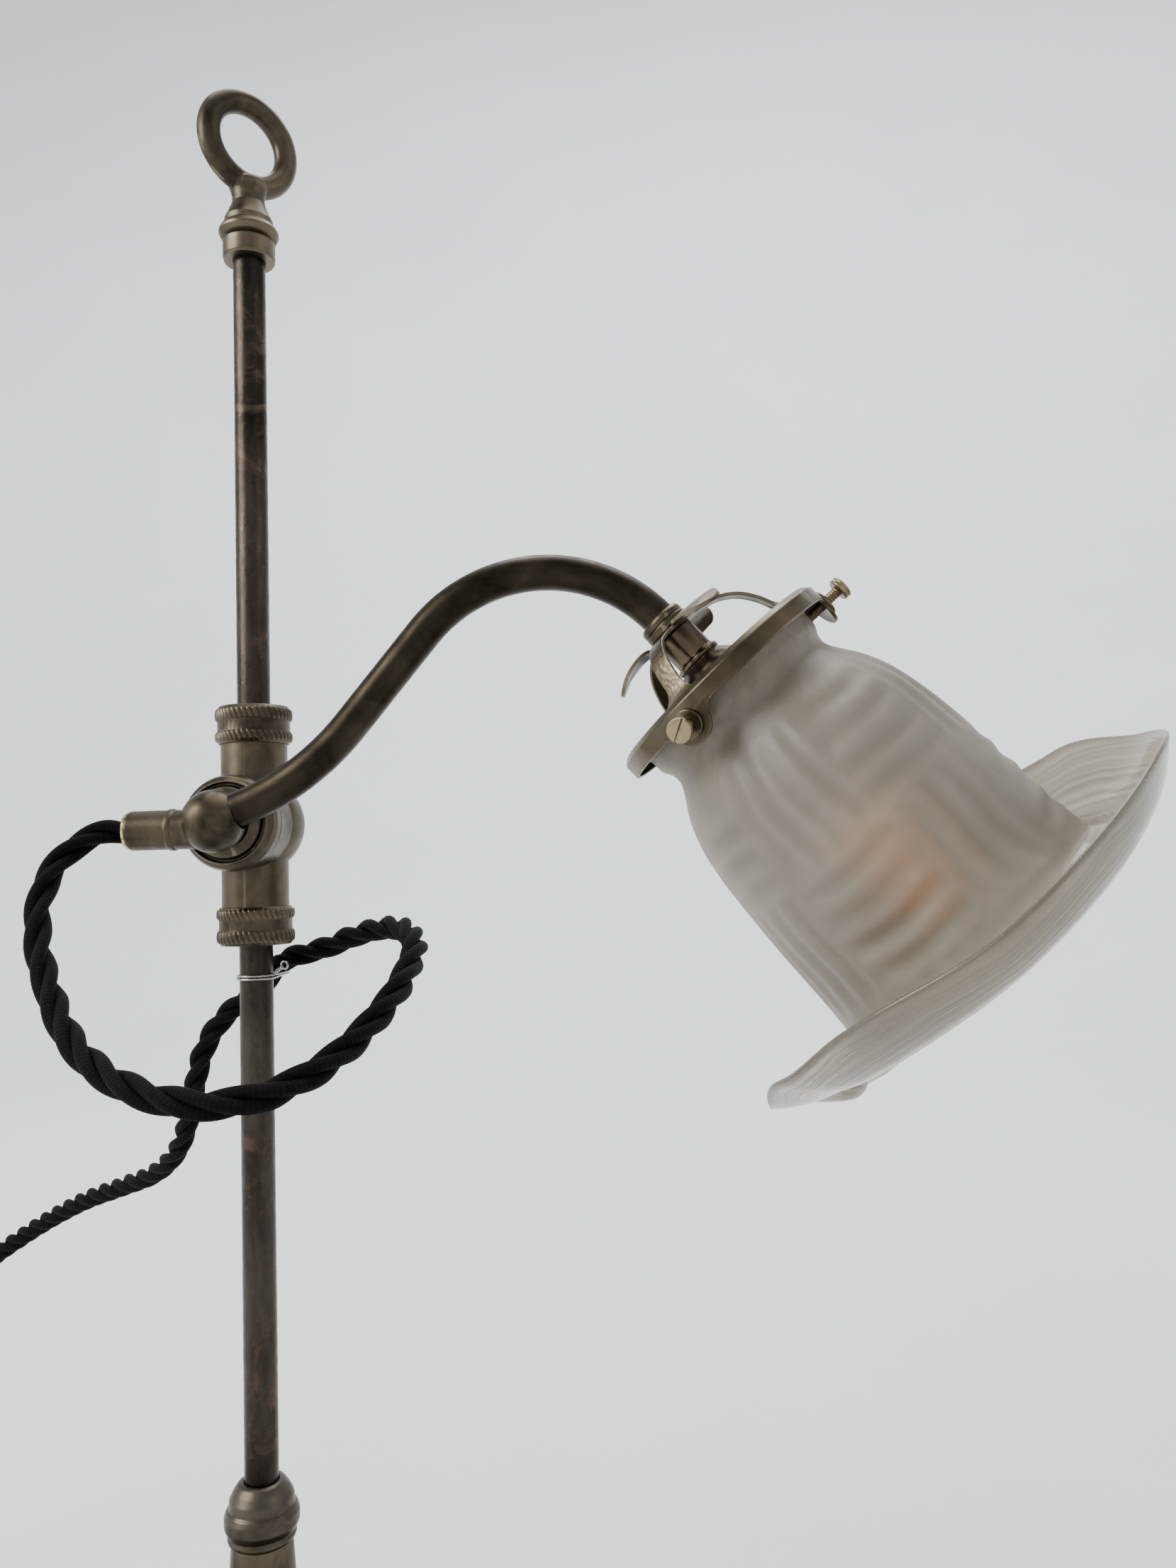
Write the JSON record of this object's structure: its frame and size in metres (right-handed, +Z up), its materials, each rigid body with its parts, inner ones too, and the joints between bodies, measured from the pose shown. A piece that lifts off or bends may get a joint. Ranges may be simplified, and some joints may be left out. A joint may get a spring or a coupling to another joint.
{
  "type": "swing arm desk lamp",
  "caption": "Antique metal desk lamp: swan-neck arm with a glass bell shade, on a slider that rises, swivels and tilts along a rod with a ring finial.",
  "frame": {"origin": "centre of the foot's felt pad where it rests on the table, on the rod's axis", "axes": "+Z up along the rod, +X the way the arm points, -Y the side that the arm's plane and the pivot's dome are on"},
  "size_m": [0.5349, 0.2613, 0.627],
  "materials": {
    "aged_bronze": "aged dark bronze patina",
    "dark_steel": "dark pitted steel with rust",
    "worn_brass": "worn nickel-toned brass",
    "screw_brass": "bright worn brass",
    "holder_brass": "aged lampholder brass",
    "bright_brass": "polished brass",
    "iron": "rough casting",
    "felt": "green baize",
    "leather": "oiled leather",
    "fibre": "red fibre",
    "porcelain": "glazed porcelain",
    "shade_glass": "satin glass with a clear brim",
    "bulb_glass": "warm clear glass",
    "filament": "warm filament",
    "cord_fabric": "black braided fabric",
    "flex_rubber": "insulated cores",
    "wire": "thin galvanised wire",
    "bakelite": "dark bakelite"
  },
  "bodies": {
    "root": {"foot_shell": "aged_bronze", "foot_weight": "iron", "felt_pad": "felt", "foot_washer": "dark_steel", "foot_nut": "dark_steel", "column": "aged_bronze", "column_collar": "worn_brass", "rod": "dark_steel", "finial_collar": "aged_bronze", "finial_ring": "aged_bronze", "cord_tail": "cord_fabric", "cord_coil": "cord_fabric", "coil_tie": "cord_fabric", "plug_lead": "cord_fabric", "plug_body": "bakelite", "plug_cover": "bakelite", "plug_pins": "bright_brass"},
    "carriage": {"friction_bushes": "leather", "wire_tie": "wire"},
    "slider": {"slider_sleeve": "aged_bronze", "upper_cap": "aged_bronze", "lower_cap": "aged_bronze", "pivot_housing": "aged_bronze", "friction_washer": "fibre", "cord_link": "cord_fabric"},
    "arm": {"pivot_dome": "aged_bronze", "pivot_bolt": "holder_brass", "arm_ball": "aged_bronze", "cord_inlet": "aged_bronze", "inlet_bush": "bright_brass", "arm_tube": "aged_bronze", "inner_flex": "flex_rubber", "collar_nut": "worn_brass", "threaded_nipple": "holder_brass", "gallery": "worn_brass", "gallery_screws": "screw_brass", "gallery_locknuts": "screw_brass", "lampholder_dome": "holder_brass", "lampholder_shell": "holder_brass", "lampholder_insulator": "porcelain", "contact_plungers": "bright_brass", "bulb_cap": "holder_brass", "bulb_glass": "bulb_glass", "bulb_filament": "filament", "glass_shade": "shade_glass", "cord_loop": "cord_fabric"}
  },
  "joints": [
    {"name": "height_slide", "type": "slide", "parent": "root", "child": "carriage", "axis": [0, 0, 1], "range_m": [-0.12, 0.165], "deforming": ["cord_tail"]},
    {"name": "swivel", "type": "hinge", "parent": "carriage", "child": "slider", "pos_m": [0, 0, 0.3453], "axis": [0, 0, 1], "range_deg": [-120, 120], "deforming": ["cord_link"]},
    {"name": "tilt", "type": "hinge", "parent": "slider", "child": "arm", "pos_m": [0, -0.0415, 0.3453], "axis": [0, 1, 0], "range_deg": [-40, 30], "deforming": ["cord_loop"]}
  ]
}
